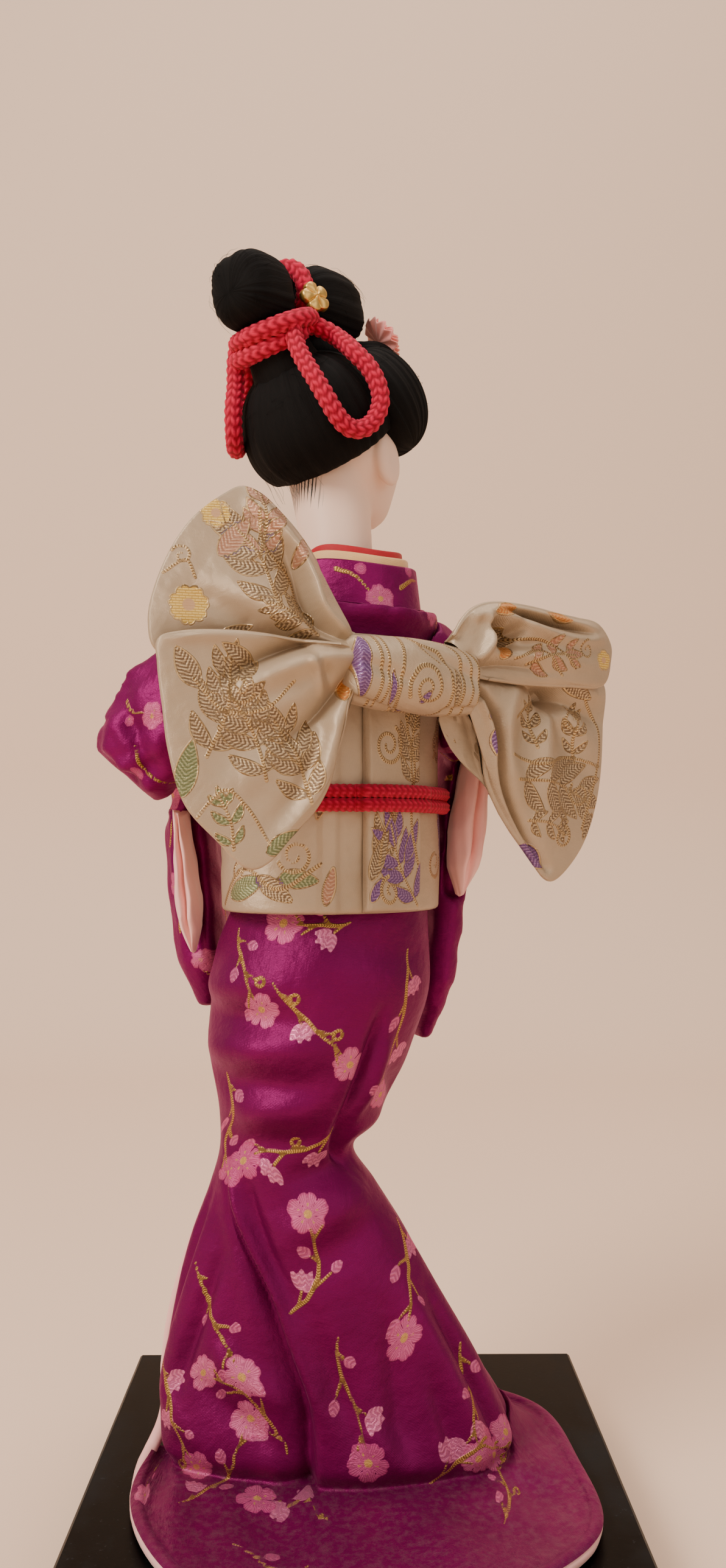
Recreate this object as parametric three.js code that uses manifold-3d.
// A kimono doll on a square lacquered plinth, seen mostly from behind.
// Millimetres, +Z up. The origin is the centre of the plinth's underside.
// The doll's back faces -Y, and +X is the side of its right hand.
// Everything on the plinth is modelled in the figure's own frame, whose zero height is the plinth's top.
import * as THREE from 'three';
import { mergeVertices } from 'three/addons/utils/BufferGeometryUtils.js';
import Module from 'manifold-3d';

const wasm = await Module();
wasm.setup();

// Plinth
const PLINTH_WIDTH = 130;
const PLINTH_HEIGHT = 18;
const PLINTH_CHAMFER = 0.8;

// Fits
const GAP = 0.3; // clearance between touching pieces
const CLOTH = 1.6; // one turned layer of brocade

// Torso: its own frame is turned about the upright axis, with +Y to the doll's front
const TORSO_X = -6;
const TORSO_YAW = 30; // degrees
const WAIST_HALF_WIDTH = 28.5;
const WAIST_HALF_DEPTH = 24;
const OBI_BOTTOM = 138.5;
const OBI_HEIGHT = 66;
const OBI_WALL = 2.4;
const SHOULDER_HALF_WIDTH = 25;
const SHOULDER_HALF_DEPTH = 18;
const SHOULDER_RISE = 13; // from the obi's top edge to the top of the shoulders
const NECK_BASE_X = 3; // the collars stand to the doll's right of the sash's middle
const NECK_BASE_Y = -5; // and behind it
const NAPE_LEVEL = 225; // the height of the collars' top at the nape
const COLLAR_FALL = 15; // from the nape down to the V at the front
const COLLAR_CHEST = 19; // how far the collars stand out at the chest

// Head: its own frame is turned and tilted, with +Y to the face
const HEAD_CENTRE = new THREE.Vector3(-4.8, 3.5, 264);
const HEAD_YAW = -37; // degrees
const HEAD_TILT = -8; // degrees
const HEAD_HALF_WIDTH = 15.4;
const CHIN_DROP = 26.5;
const CROWN_RISE = 14;
const NECK_RADIUS = 9.3;

// Kimono skirt
const HEM_THICKNESS = 1.9; // the train's cloth and its lining
const PADDING_DIAMETER = 3.4; // the padded roll along the hem

// Bow
const KNOT_LENGTH = 35;
const KNOT_HEIGHT = 18;
const KNOT_DEPTH = 15;
const KNOT_LEVEL = 194.5;
const BOW_REACH = 46;
const BOW_LEFT_SWEEP = 15; // degrees that the left wing leans to the doll's front
const BOW_RIGHT_SWEEP = 1;

// Cords
const HAIR_CORD_DIAMETER = 4.5;
const OBI_CORD_HEIGHT = 6.6;
const OBI_CORD_DEPTH = 2.6;
const OBI_CORD_LEVEL = 165.5;

// Colours
const MAGENTA = { color: 0x8c0f5c, roughness: 0.45, metalness: 0 };
const PALE_PINK = { color: 0xe9a3b2, roughness: 0.6, metalness: 0 };
const CREAM = { color: 0xe2cba6, roughness: 0.55, metalness: 0 };
const BROCADE = { color: 0xbba98a, roughness: 0.42, metalness: 0.15 };
const RED_CORD = { color: 0xb8102c, roughness: 0.75, metalness: 0 };
const RED_CLOTH = { color: 0xb01626, roughness: 0.6, metalness: 0 };
const FACE_WHITE = { color: 0xeee0d6, roughness: 0.4, metalness: 0 };
const HAIR_BLACK = { color: 0x0b0b0c, roughness: 0.65, metalness: 0 };
const GOLD = { color: 0xb98a3a, roughness: 0.4, metalness: 0.7 };
const BLOSSOM = { color: 0xdb96a0, roughness: 0.6, metalness: 0 };
const LACQUER = { color: 0x0c0b0c, roughness: 0.3, metalness: 0 };

const point = (x, y, z) => new THREE.Vector3(x, y, z);
const radians = THREE.MathUtils.degToRad;
const blend = THREE.MathUtils.lerp;
const turn = (share) => share * 2 * Math.PI;

// A smooth curve through a few values, read at a share of its length or at a level
function throughLevels(levels) {
  const column = (level, index) => point(level[0], level[index], 0);
  const curves = levels[0].slice(1).map((_, index) => (
    new THREE.CatmullRomCurve3(levels.map((level) => column(level, index + 1)), false, 'centripetal')
  ));
  const tables = curves.map((curve) => curve.getPoints(levels.length * 12));
  return (height) => tables.map((table) => {
    const inside = THREE.MathUtils.clamp(height, table[0].x, table.at(-1).x);
    const upper = Math.max(1, table.findIndex((sample) => sample.x >= inside));
    const low = table[upper - 1];
    const high = table[upper];
    return blend(low.y, high.y, (inside - low.x) / (high.x - low.x || 1));
  });
}

// Geometry of a closed skin from its points and triangles, with the faces turned outwards
function skin(points, triangles) {
  let volume = 0;
  for (const [a, b, c] of triangles) {
    volume += points[a].dot(points[b].clone().cross(points[c]));
  }
  const outward = volume > 0 ? triangles : triangles.map(([a, b, c]) => [a, c, b]);
  const geometry = new THREE.BufferGeometry().setFromPoints(points);
  geometry.setIndex(outward.flat());
  return geometry;
}

const halves = (a, b, c, d) => [[a, b, c], [a, c, d]];

// A solid through a row of closed rings, each with as many points, closed by a flat fan at both ends
function loft(rings) {
  const sides = rings[0].length;
  const centre = (ring) => ring.reduce((sum, corner) => sum.add(corner), point(0, 0, 0)).divideScalar(sides);
  const points = [...rings.flat(), centre(rings[0]), centre(rings.at(-1))];
  const start = rings.length * sides;
  const last = start - sides;
  const triangles = [];
  for (let side = 0; side < sides; side += 1) {
    const next = (side + 1) % sides;
    for (let row = 0; row < last; row += sides) {
      triangles.push(...halves(row + side, row + next, row + sides + next, row + sides + side));
    }
    triangles.push([start, next, side], [start + 1, last + side, last + next]);
  }
  return skin(points, triangles);
}

// A solid hoop: a row of closed rings that runs round and meets itself
function hoop(rings) {
  const rows = rings.length;
  const columns = rings[0].length;
  const at = (row, column) => (row % rows) * columns + (column % columns);
  const triangles = [];
  for (let row = 0; row < rows; row += 1) {
    for (let column = 0; column < columns; column += 1) {
      triangles.push(...halves(
        at(row, column), at(row, column + 1), at(row + 1, column + 1), at(row + 1, column),
      ));
    }
  }
  return skin(rings.flat(), triangles);
}

// A solid between two grids of points, with its edges closed
function slab(front, back) {
  const rows = front.length;
  const columns = front[0].length;
  const points = [...front.flat(), ...back.flat()];
  const at = (side, row, column) => (side * rows + row) * columns + column;
  const triangles = [];
  const top = rows - 1;
  const end = columns - 1;
  for (let column = 0; column < end; column += 1) {
    const next = column + 1;
    for (let row = 0; row < top; row += 1) {
      triangles.push(
        ...halves(at(0, row, column), at(0, row, next), at(0, row + 1, next), at(0, row + 1, column)),
        ...halves(at(1, row, column), at(1, row + 1, column), at(1, row + 1, next), at(1, row, next)),
      );
    }
    triangles.push(...halves(at(0, 0, next), at(0, 0, column), at(1, 0, column), at(1, 0, next)));
    triangles.push(...halves(at(0, top, column), at(0, top, next), at(1, top, next), at(1, top, column)));
  }
  for (let row = 0; row < top; row += 1) {
    triangles.push(...halves(at(0, row, 0), at(0, row + 1, 0), at(1, row + 1, 0), at(1, row, 0)));
    triangles.push(...halves(at(0, row + 1, end), at(0, row, end), at(1, row, end), at(1, row + 1, end)));
  }
  return skin(points, triangles);
}

// Closed geometry with its shared corners merged and its empty triangles dropped
function weld(geometry) {
  const bare = geometry.clone();
  bare.deleteAttribute('normal');
  bare.deleteAttribute('uv');
  const merged = mergeVertices(bare, 1e-4);
  const corners = merged.index.array;
  const kept = [];
  for (let first = 0; first < corners.length; first += 3) {
    const [a, b, c] = corners.slice(first, first + 3);
    if (a !== b && b !== c && c !== a) kept.push(a, b, c);
  }
  merged.setIndex(kept);
  return merged;
}

function toSolid(geometry) {
  const merged = weld(geometry);
  return new wasm.Manifold(new wasm.Mesh({
    numProp: 3,
    vertProperties: new Float32Array(merged.attributes.position.array),
    triVerts: new Uint32Array(merged.index.array),
  }));
}

function toGeometry(solid) {
  const mesh = solid.getMesh();
  const geometry = new THREE.BufferGeometry();
  geometry.setAttribute('position', new THREE.BufferAttribute(mesh.vertProperties, 3));
  geometry.setIndex([...mesh.triVerts]);
  return geometry;
}

// The same solid, fatter by a clearance: each corner moves out until its faces have all moved that far
function grow(geometry, clearance) {
  const fat = weld(geometry);
  fat.computeVertexNormals();
  const { position, normal } = fat.attributes;
  const corners = fat.index.array;
  const slant = new Array(position.count).fill(1);
  const triangle = new THREE.Triangle();
  const facing = point(0, 0, 0);
  const mean = point(0, 0, 0);
  for (let first = 0; first < corners.length; first += 3) {
    const three = corners.slice(first, first + 3);
    triangle.setFromAttributeAndIndices(position, ...three);
    triangle.getNormal(facing);
    for (const corner of three) {
      slant[corner] = Math.min(slant[corner], facing.dot(mean.fromBufferAttribute(normal, corner)));
    }
  }
  const moved = Array.from({ length: position.count }, (_, index) => (
    point(0, 0, 0).fromBufferAttribute(position, index)
      .addScaledVector(mean.fromBufferAttribute(normal, index), clearance / Math.max(0.5, slant[index]))
  ));
  moved.forEach((corner, index) => position.setXYZ(index, corner.x, corner.y, corner.z));
  return fat;
}

const largest = (solid) => (
  solid.decompose().reduce((best, piece) => (piece.volume() > best.volume() ? piece : best))
);

// One closed piece, cut back so that it clears its neighbours
function clear(geometry, neighbours, detail = 0.1) {
  let solid = toSolid(geometry);
  for (const neighbour of neighbours) solid = solid.subtract(toSolid(grow(neighbour, 1.2 * GAP)));
  return toGeometry(largest(solid).simplify(detail));
}

function join(...geometries) {
  const solid = geometries.map(toSolid).reduce((sum, part) => sum.add(part));
  return toGeometry(largest(solid).simplify(0.12));
}

// An egg-like solid: a sphere stretched to three half-sizes, with flatter or sharper sides
function egg(centre, halfSizes, across, along, power = 1) {
  const sphere = new THREE.SphereGeometry(1, across, along).rotateX(Math.PI / 2);
  const { position } = sphere.attributes;
  for (let index = 0; index < position.count; index += 1) {
    const round = point(0, 0, 0).fromBufferAttribute(position, index);
    const swell = (value) => Math.sign(value) * Math.abs(value) ** power;
    position.setXYZ(index, swell(round.x), swell(round.y), swell(round.z));
  }
  return sphere.scale(...halfSizes).translate(...centre);
}

// A roll: round sections along a smooth curve, with a radius at each share of its length
function roll(route, radiusAt, sides, steps) {
  const frames = route.computeFrenetFrames(steps, false);
  return loft(Array.from({ length: steps + 1 }, (_, step) => {
    const centre = route.getPointAt(step / steps);
    const radius = radiusAt(step / steps);
    return Array.from({ length: sides }, (__, side) => {
      const angle = turn(side / sides);
      return centre.clone()
        .addScaledVector(frames.normals[step], radius * Math.cos(angle))
        .addScaledVector(frames.binormals[step], radius * Math.sin(angle));
    });
  }));
}

// A limb that never stands upright: its sections are given as half-width and half-height
function limb(points, sizeAt, sides, steps) {
  const route = throughPoints(points);
  return loft(Array.from({ length: steps + 1 }, (_, step) => {
    const share = step / steps;
    const centre = route.getPointAt(share);
    const ahead = route.getTangentAt(share);
    const aside = point(ahead.y, -ahead.x, 0).normalize();
    const above = aside.clone().cross(ahead);
    const [wide, high] = sizeAt(share);
    return Array.from({ length: sides }, (__, side) => {
      const angle = turn(side / sides);
      return centre.clone()
        .addScaledVector(aside, wide * Math.cos(angle))
        .addScaledVector(above, high * Math.sin(angle));
    });
  }));
}

// A cord: a round section swept along a smooth route
function cord(route, diameter, sides, steps) {
  const section = new THREE.Shape().absarc(0, 0, diameter / 2, 0, turn(1));
  return new THREE.ExtrudeGeometry(section, { steps, extrudePath: route, curveSegments: sides / 2 });
}

const throughPoints = (points, closed = false) => new THREE.CatmullRomCurve3(points, closed, 'centripetal');

const torsoFrame = new THREE.Matrix4()
  .makeRotationZ(radians(TORSO_YAW))
  .setPosition(TORSO_X, 0, 0);
const headFrame = new THREE.Matrix4()
  .makeRotationY(radians(HEAD_TILT))
  .multiply(new THREE.Matrix4().makeRotationZ(radians(HEAD_YAW)))
  .setPosition(HEAD_CENTRE);
const onTorso = (geometry) => geometry.applyMatrix4(torsoFrame);
const onHead = (geometry) => geometry.applyMatrix4(headFrame);
const fromTorso = (x, y, z) => point(x, y, z).applyMatrix4(torsoFrame);
const fromHead = (x, y, z) => point(x, y, z).applyMatrix4(headFrame);

const OBI_TOP = OBI_BOTTOM + OBI_HEIGHT;

function makePlinth() {
  const half = PLINTH_WIDTH / 2 - PLINTH_CHAMFER;
  const board = new THREE.Shape([
    new THREE.Vector2(-half, -half),
    new THREE.Vector2(half, -half),
    new THREE.Vector2(half, half),
    new THREE.Vector2(-half, half),
  ]);
  return new THREE.ExtrudeGeometry(board, {
    depth: PLINTH_HEIGHT - 2 * PLINTH_CHAMFER,
    bevelThickness: PLINTH_CHAMFER,
    bevelSize: PLINTH_CHAMFER,
    bevelSegments: 1,
  }).translate(0, 0, PLINTH_CHAMFER);
}

// The head is one moulding with its ears and neck. Each level is its height from the head's centre,
// its half-width, and its reach to the face and to the back
const headLevels = throughLevels([
  [-CHIN_DROP, 3, 12.5, -7],
  [-24, 6.8, 15.2, 1],
  [-18, 10.8, 16.8, 9],
  [-10, 13.9, 17.3, 15],
  [-2, HEAD_HALF_WIDTH, 17.6, 17.2],
  [5, 14.6, 16.8, 16.4],
  [10.5, 11, 12.6, 12.4],
  [CROWN_RISE, 3, 3.6, 3.6],
]);

function makeNeck(radius) {
  const route = [
    fromTorso(NECK_BASE_X, NECK_BASE_Y + 1, OBI_TOP + 6),
    fromTorso(NECK_BASE_X - 1.5, NECK_BASE_Y + 1, NAPE_LEVEL - 4),
    fromHead(0, -5, -12),
  ];
  const girth = (share) => radius * (1.04 - 0.12 * Math.sin(Math.PI * share) + 0.35 * share ** 3);
  return roll(throughPoints(route), girth, 12, 3);
}

const makeEar = (side, clearance) => (
  egg([side * 13.7, -1.2, -11], [2.4, 4.2, 7].map((half) => half + clearance), 6, 5)
);

function makeHead() {
  const rows = 9;
  const sides = 14;
  const noseTip = point(0, 17.3, -9.5);
  const rings = Array.from({ length: rows + 1 }, (_, row) => {
    const height = blend(-CHIN_DROP, CROWN_RISE, row / rows);
    const [width, front, back] = headLevels(height);
    return Array.from({ length: sides }, (__, side) => {
      const angle = turn(side / sides);
      const reach = Math.cos(angle) > 0 ? front : back;
      const corner = point(width * Math.sin(angle), reach * Math.cos(angle), height);
      const away = Math.hypot(corner.x - noseTip.x, (corner.z - noseTip.z) * 0.6);
      if (Math.cos(angle) > 0) corner.y += 1.8 * Math.exp(-((away / 2.6) ** 2));
      return corner;
    });
  });
  return join(onHead(loft(rings)), onHead(makeEar(1, 0)), onHead(makeEar(-1, 0)), makeNeck(NECK_RADIUS));
}

// A collar stands round the neck and runs down to a V at the front.
// Each one is a ring of cloth in the torso's frame, wider at its foot, outside the one before it
const COLLARS = {
  collar_red: { inside: NECK_RADIUS * 1.04 + 2, top: NAPE_LEVEL + 2.4, height: 13, thickness: 1 },
  collar_cream: { top: NAPE_LEVEL + 1.2, height: 13, thickness: 1 },
  collar_outer: { top: NAPE_LEVEL - 0.6, height: 14, thickness: 1.5 },
};
COLLARS.collar_cream.inside = COLLARS.collar_red.inside + COLLARS.collar_red.thickness + GAP;
COLLARS.collar_outer.inside = COLLARS.collar_cream.inside + COLLARS.collar_cream.thickness + GAP;
const COLLAR_LEAN = 0.12; // how much wider a collar gets for each millimetre down

function collarEdge(radius, top, drop, columns) {
  return Array.from({ length: columns }, (_, column) => {
    const angle = turn(column / columns);
    const front = (1 - Math.cos(angle)) / 2;
    const fall = COLLAR_FALL * front ** 1.3;
    const lean = (NAPE_LEVEL + 2.4 - top + drop) * COLLAR_LEAN;
    const reach = radius + lean;
    const chest = Math.cos(angle) < 0 ? COLLAR_CHEST * front ** 2 : 0;
    return point(
      NECK_BASE_X + reach * Math.sin(angle),
      NECK_BASE_Y - (reach + chest) * Math.cos(angle),
      top - drop - fall,
    );
  });
}

function makeCollar({ inside, top, height, thickness }) {
  const columns = 18;
  const outside = inside + thickness;
  return onTorso(hoop([
    collarEdge(inside, top, 0, columns),
    collarEdge(outside, top, 0, columns),
    collarEdge(outside, top, height, columns),
    collarEdge(inside, top, height, columns),
  ]));
}

// The space inside the collars, which the bodice leaves free
function makeNeckline() {
  const { inside, thickness, top, height } = COLLARS.collar_outer;
  const edge = (drop) => collarEdge(inside + thickness + 1.5 * GAP, top, drop, 18);
  return onTorso(loft([edge(height + 2 * GAP), edge(0), edge(-20)]));
}

// An oval ring of points in the torso's frame
function oval(width, depth, height, sides) {
  return Array.from({ length: sides }, (_, side) => {
    const angle = turn(side / sides);
    return point(width * Math.sin(angle), -depth * Math.cos(angle), height);
  });
}

function makeBodice() {
  const inner = OBI_WALL + GAP;
  const top = OBI_TOP + SHOULDER_RISE;
  const levels = [
    [OBI_BOTTOM + OBI_HEIGHT / 2, WAIST_HALF_WIDTH - inner, WAIST_HALF_DEPTH - inner, 0],
    [OBI_TOP + GAP, WAIST_HALF_WIDTH - inner, WAIST_HALF_DEPTH - inner, 0],
    [OBI_TOP + 6, SHOULDER_HALF_WIDTH, SHOULDER_HALF_DEPTH + 3, 0.6],
    [top - 2, SHOULDER_HALF_WIDTH - 3, SHOULDER_HALF_DEPTH + 1, 0.9],
    [top + 1.4, 19, SHOULDER_HALF_DEPTH, 1],
  ];
  const body = toSolid(onTorso(loft(levels.map(([height, width, depth, shift]) => (
    oval(width, depth, height, 18).map((corner) => (
      corner.add(point(NECK_BASE_X * shift, NECK_BASE_Y * shift, 0))
    ))
  )))));
  return toGeometry(largest(body.subtract(toSolid(makeNeckline()))).simplify(0.1));
}

function makeObiBand() {
  const wall = (inset, height) => oval(WAIST_HALF_WIDTH - inset, WAIST_HALF_DEPTH - inset, height, 28);
  return onTorso(hoop([
    wall(OBI_WALL, OBI_BOTTOM), wall(0, OBI_BOTTOM), wall(0, OBI_TOP), wall(OBI_WALL, OBI_TOP),
  ]));
}

// The obi's hanging end lies flat on the back of the band
const DROP_WIDTH = 19.5;
const DROP_THICKNESS = 2.2;
const DROP_SHIFT = 0.6;
function makeObiDrop() {
  const columns = 6;
  const rows = 4;
  const face = (outset) => Array.from({ length: rows + 1 }, (_, row) => (
    Array.from({ length: columns + 1 }, (__, column) => {
      const x = DROP_SHIFT + DROP_WIDTH * (column / columns - 0.5);
      const bow = Math.sqrt(1 - (x / WAIST_HALF_WIDTH) ** 2);
      const height = blend(OBI_BOTTOM + 0.4, KNOT_LEVEL, row / rows);
      return point(x, -WAIST_HALF_DEPTH * bow - outset, height);
    })
  ));
  return onTorso(slab(face(GAP + DROP_THICKNESS), face(GAP)));
}

// The knitted cord runs level round the obi and over its hanging end
function makeObiCord() {
  const sides = 28;
  const ring = (outset, height) => Array.from({ length: sides }, (_, side) => {
    const angle = turn(side / sides);
    const x = (WAIST_HALF_WIDTH + outset) * Math.sin(angle);
    const over = Math.abs(x - DROP_SHIFT) < DROP_WIDTH / 2 + 1.5 && Math.cos(angle) > 0;
    const lift = over ? DROP_THICKNESS + GAP : 0;
    return point(x, -(WAIST_HALF_DEPTH + outset + lift) * Math.cos(angle), OBI_CORD_LEVEL + height);
  });
  const half = OBI_CORD_HEIGHT / 2;
  return onTorso(hoop([
    ring(GAP, -half), ring(OBI_CORD_DEPTH, -half * 0.6), ring(OBI_CORD_DEPTH, half * 0.6), ring(GAP, half),
  ]));
}

const KNOT_CENTRE = point(2, -WAIST_HALF_DEPTH - DROP_THICKNESS - KNOT_DEPTH / 2 + 0.5, KNOT_LEVEL);
function makeObiKnot() {
  const rings = 5;
  const sides = 10;
  return onTorso(loft(Array.from({ length: rings + 1 }, (_, ring) => {
    const share = ring / rings;
    const x = KNOT_CENTRE.x + KNOT_LENGTH * (share - 0.5);
    const swell = 0.84 + 0.16 * Math.sin(Math.PI * share);
    return Array.from({ length: sides }, (__, side) => {
      const angle = turn(side / sides);
      const flat = (value) => Math.sign(value) * Math.abs(value) ** 0.8;
      return point(
        x,
        KNOT_CENTRE.y + (KNOT_DEPTH / 2) * swell * flat(Math.cos(angle)),
        KNOT_CENTRE.z + (KNOT_HEIGHT / 2) * swell * flat(Math.sin(angle)) - 1.5 * share,
      );
    });
  })));
}

// A lobe of the bow is a loop of cloth, gathered in the knot, that fans out to its rim.
// Each spoke to the rim is its angle in degrees from level and its reach as a share of the bow's
const LOBES = {
  bow_upper_left: {
    side: -1,
    rim: [
      [2, 0.96], [14, 0.97], [26, 1], [36, 1.03], [45, 1.06],
      [53, 1.07], [59, 1.04], [64, 0.9], [68, 0.75], [72, 0.55],
    ],
    puff: 1.6,
    lift: -3.2,
    rootShift: 1.6,
  },
  bow_lower_left: {
    side: -1,
    rim: [
      [-80, 0.45], [-74, 0.76], [-68, 0.99], [-63, 1.08], [-55, 1.05],
      [-44, 1.02], [-32, 0.99], [-20, 0.96], [-7, 0.94], [8, 0.95],
    ],
    puff: 2.2,
    lift: 1.8,
    rootShift: 0,
  },
  bow_upper_right: {
    side: 1,
    rim: [
      [-7, 0.88], [1, 0.9], [9, 0.89], [17, 0.86], [24, 0.75],
      [31, 0.62], [42, 0.51], [56, 0.43], [74, 0.38], [92, 0.34],
    ],
    puff: 3.6,
    lift: 2.6,
    rootShift: 1,
  },
  bow_lower_right: {
    side: 1,
    rim: [
      [-85, 0.48], [-80, 0.7], [-71, 0.88], [-63, 1.08], [-58, 1.2],
      [-49, 1.16], [-37, 1.06], [-24, 0.97], [-12, 0.92], [-3, 0.91],
    ],
    puff: 2.2,
    lift: -1.2,
    rootShift: 0,
  },
};

function makeLobe({ side, rim, puff, lift, rootShift }) {
  const steps = 5;
  const outward = radians(side < 0 ? BOW_LEFT_SWEEP : BOW_RIGHT_SWEEP);
  const root = KNOT_CENTRE.clone().add(point(side * (KNOT_LENGTH / 2 - 2), 0, rootShift));
  const out = point(side * Math.cos(outward), Math.sin(outward), 0);
  const normal = point(side * Math.sin(outward), -Math.cos(outward), 0);
  const spokes = (face, step) => rim.map(([rimAngle, reach], spoke) => {
    const across = spoke / (rim.length - 1);
    const along = blend(0.1, 1, step / steps);
    const angle = radians(rimAngle) * Math.min(1, 0.4 + along);
    const length = BOW_REACH * reach * along;
    const gather = Math.cos(turn(across)) * 1.3 * Math.sin(Math.PI * along) ** 0.8;
    const swell = Math.sin(Math.PI * across) * Math.sin(Math.PI * Math.min(1, along * 1.06));
    return root.clone()
      .addScaledVector(out, length * Math.cos(angle))
      .add(point(0, 0, length * Math.sin(angle)))
      .addScaledVector(normal, lift * along + gather + face * (CLOTH / 2 + puff * swell));
  });
  const surface = (face) => Array.from({ length: steps + 1 }, (_, step) => spokes(face, step));
  return onTorso(slab(surface(1), surface(-1)));
}

// Arms: shoulder, elbow and wrist of each side, and the pouch that hangs from the forearm
const ARMS = {
  left: {
    shoulder: fromTorso(-16, -1, OBI_TOP + 2),
    elbow: point(-52.5, -4, 178.5),
    wrist: point(-43.5, 31, 186),
    pouchTop: point(-45.5, 4, 168),
    pouchEnd: point(-43.5, 36, 172),
    pouchBottom: 112,
    pouchLean: 6,
    pouchHalf: 5.6,
  },
  right: {
    shoulder: fromTorso(15, -3, OBI_TOP + 3),
    elbow: point(38, 12, 180),
    wrist: point(20, 43, 182),
    pouchTop: point(31, 8, 174),
    pouchEnd: point(18, 46, 172),
    pouchBottom: 102.5,
    pouchLean: -9,
    pouchHalf: 4.6,
  },
};
const PALM_LENGTH = 15;

// The pouch is a flat bag that hangs lengthwise under the forearm, with a round lower corner
function makePouch({ pouchTop, pouchEnd, pouchBottom, pouchLean, pouchHalf }) {
  const steps = 5;
  const sides = 10;
  const along = pouchEnd.clone().sub(pouchTop).setZ(0);
  const across = point(along.y, -along.x, 0).normalize();
  return loft(Array.from({ length: steps + 1 }, (_, step) => {
    const fall = step / steps;
    const height = blend(pouchTop.z + 6, pouchBottom, fall);
    const round = Math.sqrt(Math.max(0.02, 1 - Math.max(0, (fall - 0.72) / 0.28) ** 2));
    const middle = pouchTop.clone().lerp(pouchEnd, 0.5).setZ(height);
    middle.x += pouchLean * fall;
    const length = (along.length() / 2) * (0.9 + 0.1 * round) * (fall > 0.72 ? 0.55 + 0.45 * round : 1);
    const half = pouchHalf * (0.75 + 0.45 * Math.sin(Math.PI * (0.25 + fall * 0.6))) * (0.45 + 0.55 * round);
    return Array.from({ length: sides }, (__, side) => {
      const angle = turn(side / sides);
      const box = (value) => Math.sign(value) * Math.abs(value) ** 0.6;
      return middle.clone()
        .addScaledVector(along.clone().normalize(), length * box(Math.cos(angle)))
        .addScaledVector(across, half * box(Math.sin(angle)));
    });
  }));
}

function makeSleeve(arm) {
  const { shoulder, elbow, wrist } = arm;
  const upper = limb(
    [shoulder, shoulder.clone().lerp(elbow, 0.55).add(point(0, 0, 2)), elbow],
    (share) => [12.5 - 2 * share, 13.5 - 0.5 * share],
    10,
    3,
  );
  const bend = egg(elbow.toArray(), [10.8, 10.4, 13.6], 8, 5);
  const fore = limb([elbow, wrist], (share) => [10.4 - 1.6 * share, 12.6 - 3 * share], 8, 1);
  return join(upper, bend, fore, makePouch(arm));
}

// The lining shows as two pale layers in the opening at the back of the pouch
function makeSleeveLining(arm, width, top, bottom, tuck) {
  const along = arm.pouchEnd.clone().sub(arm.pouchTop).setZ(0).normalize();
  const across = point(along.y, -along.x, 0);
  const steps = 5;
  const sides = 8;
  return loft(Array.from({ length: steps + 1 }, (_, step) => {
    const share = step / steps;
    const fall = (arm.pouchTop.z + 6 - blend(top, bottom, share)) / (arm.pouchTop.z + 6 - arm.pouchBottom);
    const centre = arm.pouchTop.clone().setZ(blend(top, bottom, share));
    centre.x += arm.pouchLean * fall;
    centre.addScaledVector(along, tuck);
    const swell = 0.35 + 0.65 * Math.sin(Math.PI * (0.12 + 0.8 * share));
    return Array.from({ length: sides }, (__, side) => {
      const angle = turn(side / sides);
      return centre.clone()
        .addScaledVector(along, 7 * Math.cos(angle))
        .addScaledVector(across, (width / 2) * swell * Math.sin(angle));
    });
  }));
}

function makeHand(arm, side) {
  const ahead = arm.wrist.clone().sub(arm.elbow).normalize();
  const reach = (share, drop) => (
    arm.wrist.clone().addScaledVector(ahead, share * PALM_LENGTH).add(point(0, 0, drop))
  );
  const palm = limb(
    [reach(-0.5, -0.5), reach(0, -0.5), reach(0.6, -1), reach(1.2, -3)],
    (share) => [3.4 + 1.4 * Math.sin(Math.PI * Math.max(0, share - 0.2)) - 1.6 * Math.max(0, share - 0.6), 2.6],
    7,
    4,
  );
  const thumb = limb(
    [reach(0.15, 1.2), reach(0.5, 2.6).add(point(side * 1.5, 0, 0)), reach(0.8, 2).add(point(side * 2, 0, 0))],
    (share) => [1.7 - 0.5 * share, 1.7 - 0.5 * share],
    5,
    2,
  );
  return join(palm, thumb);
}

// The skirt's fall. Each level is its height over the plinth, and its reach to the doll's left,
// right, back and front, in the figure's frame
const fallLevels = throughLevels([
  [0, 47.6, 41, 19, 37],
  [14, 48.4, 36.5, 18, 33],
  [28, 48, 30, 17, 29],
  [44, 44.8, 21, 16.5, 25],
  [58, 40.8, 13, 15.5, 21],
  [70, 36.4, 5, 14.5, 18.5],
  [79, 34, -0.5, 15, 18],
  [88, 34.2, 6, 18, 18.5],
  [100, 36, 12.5, 22, 20],
  [114, 37.2, 17.5, 24.5, 21.5],
  [128, 35, 18.6, 23.5, 21.2],
  [OBI_BOTTOM, 31.2, 18.4, 20.6, 20],
]);
const FALL_FOOT = 3.2;
const SKIRT_TOP = OBI_BOTTOM + OBI_HEIGHT / 2 - GAP;

// The hem's reach from the skirt's middle, every 30 degrees from the back towards the doll's right
const HEM_REACH = [56, 58.5, 60.5, 53, 54.5, 47.5, 43, 48.5, 53, 51.5, 54.5, 59];
const HEM_MIDDLE = point(0, -3, 0);
const hemReach = throughPoints(HEM_REACH.map((reach, index) => (
  point(reach * Math.sin(turn(index / 12)), -reach * Math.cos(turn(index / 12)), 0)
)), true);
function hemPoint(share, inset) {
  const rim = hemReach.getPoint(((share % 1) + 1) % 1);
  return rim.clone().setLength(rim.length() - inset).add(HEM_MIDDLE);
}

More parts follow.
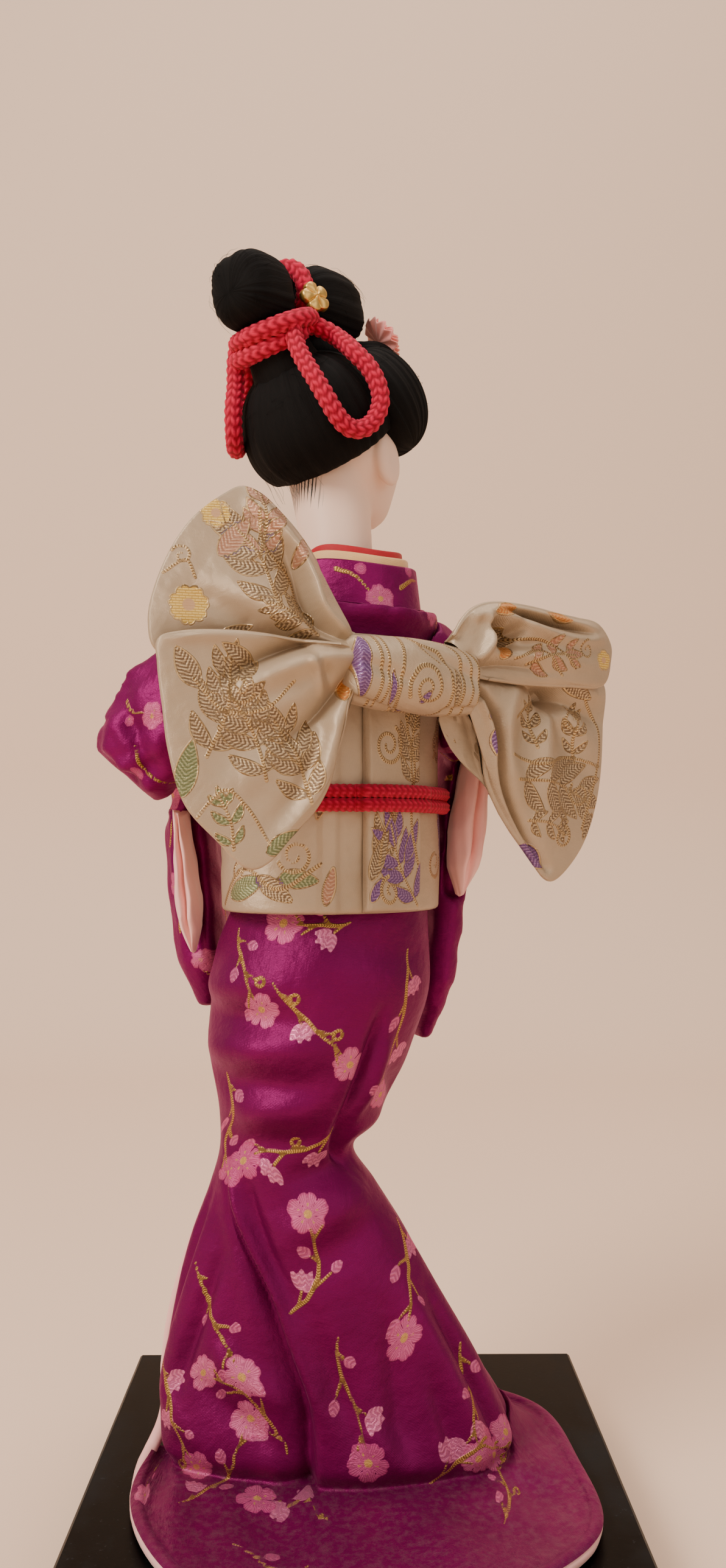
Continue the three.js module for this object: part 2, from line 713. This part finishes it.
// Where the back panel laps over the side panel: a line from the left knee to the middle of the hem
const lapLevels = throughLevels([
  [0, -9.5],
  [12, -9.2],
  [22, -10],
  [32, -13.5],
  [46, -19],
  [62, -26.5],
  [78, -33],
  [100, -50],
]);
const LAP_DEPTH = 4.2;

// The two front edges, as shares of a turn from the back: they part below the knees
const OPENING_TOP = 84;
const openingEdges = throughLevels([
  [0, 0.57, 0.735],
  [20, 0.575, 0.73],
  [45, 0.59, 0.72],
  [70, 0.62, 0.69],
  [OPENING_TOP, 0.64, 0.67],
]);

// A fold that swings out to the doll's right near the floor
const SIDE_FOLD = { share: 0.335, spread: 0.045, reach: 9, height: 30 };
function fallPoint(share, height, inset) {
  const [left, right, back, front] = fallLevels(height);
  const fold = SIDE_FOLD.reach
    * Math.exp(-(((share - SIDE_FOLD.share) / SIDE_FOLD.spread) ** 2))
    * Math.max(0, 1 - height / SIDE_FOLD.height);
  const angle = turn(share);
  const depth = (Math.cos(angle) > 0 ? back : front) - inset + fold;
  const across = (right + left) / 2 - inset + fold;
  return point((right - left) / 2 + across * Math.sin(angle), -depth * Math.cos(angle), height);
}

// The skirt's columns keep to the front edges and to the lap, so that each is one clean line.
// Above the knees they spread out evenly again
const SKIRT_SIDES = 40;
const LAP_SIDE = 37;
const LAP_STEP = 0.006; // how close the column beside the lap lies to it, as a share of a turn
const OPEN_FROM = 22;
const OPEN_TO = 28;
const EDGE_STEP = 0.012; // how wide a front edge's inner side is, as a share of a turn
function columnShare(side, height) {
  const [left, right] = fallLevels(height);
  const [lapAt] = lapLevels(height);
  const [from, to] = openingEdges(height);
  const off = THREE.MathUtils.clamp((lapAt - (right - left) / 2) / ((right + left) / 2), -0.93, 0);
  const lap = 1 + Math.asin(off) / turn(1);
  const fade = THREE.MathUtils.smoothstep(height, OPENING_TOP, OPENING_TOP + 24);
  const stops = [
    [0, 0], [SKIRT_SIDES / 2, 0.5], [OPEN_FROM, from], [OPEN_FROM + 1, from + EDGE_STEP],
    [OPEN_TO - 1, to - EDGE_STEP], [OPEN_TO, to],
    [LAP_SIDE - 1, lap - LAP_STEP], [LAP_SIDE, lap], [SKIRT_SIDES, 1],
  ].map(([at, share]) => [at, blend(share, at / SKIRT_SIDES, fade)]);
  const upper = Math.max(1, stops.findIndex(([at]) => at >= side));
  const [[lowAt, low], [highAt, high]] = [stops[upper - 1], stops[upper]];
  return blend(low, high, (side - lowAt) / (highAt - lowAt));
}

function lapRecess(side, height) {
  if (side >= LAP_SIDE || side < LAP_SIDE - 6) return 0;
  const fade = THREE.MathUtils.smoothstep(height, OPENING_TOP - 24, OPENING_TOP);
  return LAP_DEPTH * (1 - (LAP_SIDE - 1 - side) / 6) * (1 - fade);
}

// The skirt is stiff brocade over a stuffed body. Its rings run from the hem's underside, over the
// train, up the fall and into the obi. The front opening is a shallow recess for the underskirt
const FALL_ROWS = [11, 24, 40, 58, 78, 86, 96, 109, 122, 132];
const HEM_INSET = PADDING_DIAMETER / 2 + GAP + 0.3;
const UNDERSKIRT_THICKNESS = 1.2;
const OPENING_DEPTH = CLOTH + UNDERSKIRT_THICKNESS + 1.5 * GAP;
function makeSkirt() {
  const sides = Array.from({ length: SKIRT_SIDES }, (_, side) => side);
  const open = (side, height) => height < OPENING_TOP && side > OPEN_FROM && side < OPEN_TO;
  const fall = (height) => sides.map((side) => {
    const corner = fallPoint(columnShare(side, height), height, open(side, height) ? OPENING_DEPTH : 0);
    corner.y += lapRecess(side, height);
    return corner;
  });
  const foot = fall(FALL_FOOT);
  const hem = (height) => sides.map((side) => (
    open(side, 0) ? foot[side].clone() : hemPoint(columnShare(side, 0), HEM_INSET)
  ).setZ(height));
  const edge = hem(GAP + HEM_THICKNESS);
  const train = [0.5, 0.85].map((out) => sides.map((side) => {
    const wave = open(side, 0) ? 0 : 0.5 * Math.sin(turn(columnShare(side, 0) * 5)) * Math.sin(Math.PI * out);
    return edge[side].clone().lerp(foot[side], out).setZ(GAP + HEM_THICKNESS + wave + 0.5 * out);
  }));
  const ring = (height) => sides.map((side) => {
    const angle = turn(columnShare(side, height)) - radians(TORSO_YAW);
    const inset = OBI_WALL + 1.6 * GAP;
    return fromTorso(
      (WAIST_HALF_WIDTH - inset) * Math.sin(angle),
      -(WAIST_HALF_DEPTH - inset) * Math.cos(angle),
      height,
    );
  });
  return loft([hem(GAP), edge, ...train, foot, ...FALL_ROWS.map(fall), ring(OBI_BOTTOM - 1), ring(SKIRT_TOP)]);
}

// The underskirt shows between the front edges, as one curved panel that lies in the recess
function makeUnderKimono() {
  const columns = 6;
  const heights = [GAP, ...FALL_ROWS.filter((height) => height < OPENING_TOP - 8), OPENING_TOP - 8];
  const face = (inset) => heights.map((height) => {
    const [from, to] = openingEdges(height);
    const room = 1.6 * PADDING_DIAMETER / (turn(1) * 40);
    return Array.from({ length: columns + 1 }, (_, column) => (
      fallPoint(blend(from + room, to - room, column / columns), height, inset)
    ));
  });
  return slab(face(CLOTH), face(CLOTH + UNDERSKIRT_THICKNESS));
}

// The padded roll starts at the knee, runs down one front edge, round the hem and up the other edge
function makeHemPadding() {
  const lift = 1.6 * GAP + PADDING_DIAMETER / 2;
  const heights = [OPENING_TOP - 8, 62, 48, 34, 20, 11];
  const right = heights.map((height) => fallPoint(openingEdges(height)[0] + EDGE_STEP, height, -1.6));
  const left = heights.map((height) => fallPoint(openingEdges(height)[1] - EDGE_STEP, height, -1.6));
  const [from, to] = openingEdges(0);
  const steps = 20;
  const hem = Array.from({ length: steps + 1 }, (_, step) => (
    hemPoint(blend(to, 1 + from, step / steps), -GAP).setZ(lift)
  ));
  const route = throughPoints([...left, ...hem, ...right.reverse()]).getSpacedPoints(70);
  for (const stop of route) stop.z = Math.max(stop.z, lift);
  return roll(throughPoints(route), () => PADDING_DIAMETER / 2, 6, 36);
}

// Hair: bundles of black fibre over the head
const HAIR_BACK = { centre: [0, -9, -1], halfSizes: [19.2, 18.8, 17] };
const SCALP_GAP = 1.7;
// A plain cast of the head, a little larger, which keeps the hair off it
function makeScalp() {
  const heights = [-CHIN_DROP, -18, -9, 4, 10.5, CROWN_RISE + SCALP_GAP];
  const sides = 10;
  return join(makeNeck(NECK_RADIUS + SCALP_GAP), onHead(loft(heights.map((height) => {
    const [width, front, back] = headLevels(height);
    return Array.from({ length: sides }, (_, side) => {
      const angle = turn(side / sides);
      const reach = (Math.cos(angle) > 0 ? front : back) + SCALP_GAP;
      return point((width + SCALP_GAP) * Math.sin(angle), reach * Math.cos(angle), height);
    });
  }))), ...[1, -1].map((side) => onHead(makeEar(side, SCALP_GAP))));
}
const hairBack = () => {
  const bulk = egg(HAIR_BACK.centre, HAIR_BACK.halfSizes, 14, 8);
  const root = roll(
    throughPoints([point(0, -17, 8), point(0, -20, 13), point(0, -21.5, 17.4)]),
    (share) => 6.6 - 1.2 * Math.sin(Math.PI * share),
    8,
    3,
  );
  return join(onHead(bulk), onHead(root));
};
const hairWing = (side) => onHead(egg([side * 11.5, 4.5, 4], [10.6, 14.5, 16.5], 11, 7));
const hairFront = () => onHead(egg([0, 10.5, 14], [13.5, 9.8, 9.2], 10, 6));
const BUN_PLANE = -14.5; // the plane of the band between the two lobes
const BAND_HALF = HAIR_CORD_DIAMETER / 2 + GAP;
const bunRear = () => onHead(egg([0, BUN_PLANE - BAND_HALF - 10, 28.2], [8.8, 10, 9.2], 14, 9, 0.82));
const bunFront = () => onHead(egg([0, BUN_PLANE + BAND_HALF + 11.6, 31], [8.8, 11.6, 8.8], 12, 8, 0.82));

function ringOfCord(centre, halfWidth, halfHeight, tilt) {
  const ring = new THREE.TorusGeometry(1, HAIR_CORD_DIAMETER / (halfWidth + halfHeight), 8, 12);
  return onHead(ring
    .scale(halfWidth, halfHeight, (halfWidth + halfHeight) / 2)
    .rotateX(radians(tilt))
    .translate(centre.x, centre.y, centre.z));
}

// The two hanging loops of cord lie on the back hair. Each stop is its bearing from the back of the
// head, towards the loop's own side, its height from the head's centre, and how far it stands off
const LOOP_STOPS = {
  right: [
    [18, 12, 3.6], [25, 5, 1.2], [36, -3.5, 0.3], [50, -10, 0.3], [65, -12.5, 0.8],
    [79, -8.5, 1], [82, -0.5, 1], [73, 7, 1.4], [55, 12, 3], [40, 15, 5],
  ],
  left: [
    [26, 15, 5], [32, 9, 2.2], [40, 3, 0.8], [50, -2.5, 0.4], [62, -4, 0.8],
    [72, 0, 1], [72, 6, 1.2], [62, 11, 2.4], [48, 14.5, 5],
  ],
};
function makeLoop(side, stops) {
  const [width, depth, height] = HAIR_BACK.halfSizes;
  const route = stops.map(([bearing, level, stand]) => {
    const rise = (level - HAIR_BACK.centre[2]) / (height + HAIR_CORD_DIAMETER / 2);
    const girth = Math.sqrt(Math.max(0, 1 - rise ** 2));
    const off = HAIR_CORD_DIAMETER / 2 + GAP + 0.3 + stand;
    const angle = radians(bearing);
    return fromHead(
      HAIR_BACK.centre[0] + side * (width * girth + off) * Math.sin(angle),
      HAIR_BACK.centre[1] - (depth * girth + off) * Math.cos(angle),
      level,
    );
  });
  return cord(throughPoints(route), HAIR_CORD_DIAMETER, 8, 14);
}

// A flat flower of five round petals, facing along its normal
function makeGoldFlower(centre, facing, radius) {
  const outline = [];
  const petals = 5;
  const steps = 3;
  for (let step = 0; step < petals * steps; step += 1) {
    const angle = turn(step / (petals * steps));
    const reach = radius * (0.72 + 0.28 * Math.abs(Math.sin((petals * angle) / 2)) ** 0.6);
    outline.push(new THREE.Vector2(reach * Math.cos(angle), reach * Math.sin(angle)));
  }
  const flower = new THREE.ExtrudeGeometry(new THREE.Shape(outline), {
    depth: 0.8, bevelThickness: 0.5, bevelSize: 0.5, bevelSegments: 1,
  });
  const aim = new THREE.Quaternion().setFromUnitVectors(point(0, 0, 1), facing.clone().normalize());
  return onHead(flower.applyQuaternion(aim).translate(centre.x, centre.y, centre.z));
}

// A pleated cloth flower: a shallow dome with a rippled rim
function makePinkFlower() {
  const centre = point(8, 13.8, 22);
  const facing = point(0.35, 0.75, 0.6).normalize();
  const radius = 6.2;
  const pleats = 10;
  const sides = pleats * 2;
  const aim = new THREE.Quaternion().setFromUnitVectors(point(0, 0, 1), facing);
  const rings = [[0.3, -1.6], [1, -0.4], [0.92, 1.2], [0.5, 2.6], [0.15, 2.2]].map(([share, height]) => (
    Array.from({ length: sides }, (_, side) => {
      const angle = turn(side / sides);
      const ripple = 1 + (side % 2 ? -0.12 : 0.06) * share;
      const reach = radius * share * ripple;
      return point(reach * Math.cos(angle), reach * Math.sin(angle), height).applyQuaternion(aim).add(centre);
    })
  ));
  return onHead(loft(rings));
}

// Build the pieces from the inside out, each cut back where a neighbour lies on it
const shapes = {};
shapes.head = makeHead();
shapes.obi_band = makeObiBand();
for (const [name, collar] of Object.entries(COLLARS)) {
  shapes[name] = clear(makeCollar(collar), [shapes.obi_band]);
}
shapes.kimono_bodice = makeBodice();
shapes.obi_drop = clear(makeObiDrop(), [shapes.obi_band]);
shapes.obijime = clear(makeObiCord(), [shapes.obi_drop]);
shapes.obi_knot = clear(makeObiKnot(), [shapes.obi_band, shapes.obi_drop]);
for (const [name, lobe] of Object.entries(LOBES)) {
  const before = Object.keys(LOBES).filter((other) => shapes[other]).map((other) => shapes[other]);
  shapes[name] = clear(makeLobe(lobe), [shapes.obi_knot, ...before]);
}

const LININGS = {
  left: [6.6, 163, 127, -3],
  right: [9, 184, 141, -1.5],
};
for (const [side, arm] of Object.entries(ARMS)) {
  const hand = makeHand(arm, side === 'left' ? 1 : -1);
  const lining = makeSleeveLining(arm, ...LININGS[side]);
  shapes[`hand_${side}`] = hand;
  shapes[`sleeve_lining_${side}`] = lining;
  shapes[`sleeve_${side}`] = clear(makeSleeve(arm), [
    hand, lining, shapes.kimono_bodice, shapes.collar_outer, shapes.obi_band,
  ], 0.3);
}

shapes.kimono_skirt = makeSkirt();
shapes.under_kimono = makeUnderKimono();
shapes.hem_padding = makeHemPadding();

const scalp = makeScalp();
const bundles = [hairBack(), hairWing(1), hairWing(-1), hairFront()];
['hair_back', 'hair_wing_right', 'hair_wing_left', 'hair_front'].forEach((name, place) => {
  shapes[name] = clear(bundles[place], [scalp, ...bundles.slice(0, place)]);
});
shapes.hair_cord_ring = ringOfCord(point(0, -21.8, 19.9), 8.8, 8.6, 24);
shapes.hair_cord_band = clear(ringOfCord(point(0, BUN_PLANE, 31), 9, 7.8, 90), [
  shapes.hair_cord_ring, shapes.hair_back,
]);
for (const [side, sign] of [['left', -1], ['right', 1]]) {
  shapes[`hair_cord_loop_${side}`] = clear(makeLoop(sign, LOOP_STOPS[side]), [shapes.hair_cord_ring]);
}
shapes.hair_bun_rear = bunRear();
shapes.hair_bun_front = bunFront();
const buns = [shapes.hair_bun_rear, shapes.hair_bun_front];
const band = shapes.hair_cord_band;
for (const [side, sign] of [['left', -1], ['right', 1]]) {
  const flower = makeGoldFlower(point(sign * 10.2, -9.6, 29.6), point(sign * 0.95, -0.25, 0.2), 3.6);
  shapes[`gold_flower_${side}`] = clear(flower, [...buns, band]);
}
shapes.pink_flower = clear(makePinkFlower(), [...buns, shapes.hair_front]);

const FINISHES = {
  head: FACE_WHITE,
  hand_left: FACE_WHITE,
  hand_right: FACE_WHITE,
  collar_red: RED_CLOTH,
  collar_cream: CREAM,
  obi_band: BROCADE,
  obi_drop: BROCADE,
  obi_knot: BROCADE,
  obijime: RED_CORD,
  under_kimono: PALE_PINK,
  hem_padding: PALE_PINK,
  sleeve_lining_left: PALE_PINK,
  sleeve_lining_right: PALE_PINK,
  gold_flower_right: GOLD,
  gold_flower_left: GOLD,
  pink_flower: BLOSSOM,
};
function finishOf(name) {
  if (FINISHES[name]) return FINISHES[name];
  if (name.startsWith('bow_')) return BROCADE;
  if (name.startsWith('hair_cord')) return RED_CORD;
  if (name.startsWith('hair_')) return HAIR_BLACK;
  return MAGENTA;
}

function makePiece(name, geometry, finish) {
  const piece = new THREE.Mesh(geometry, new THREE.MeshStandardMaterial(finish));
  piece.name = name;
  return piece;
}

const figure = new THREE.Group();
figure.position.z = PLINTH_HEIGHT;
for (const [name, geometry] of Object.entries(shapes)) {
  figure.add(makePiece(name, geometry, finishOf(name)));
}

const doll = new THREE.Group();
doll.add(makePiece('plinth', makePlinth(), LACQUER), figure);

export default doll;
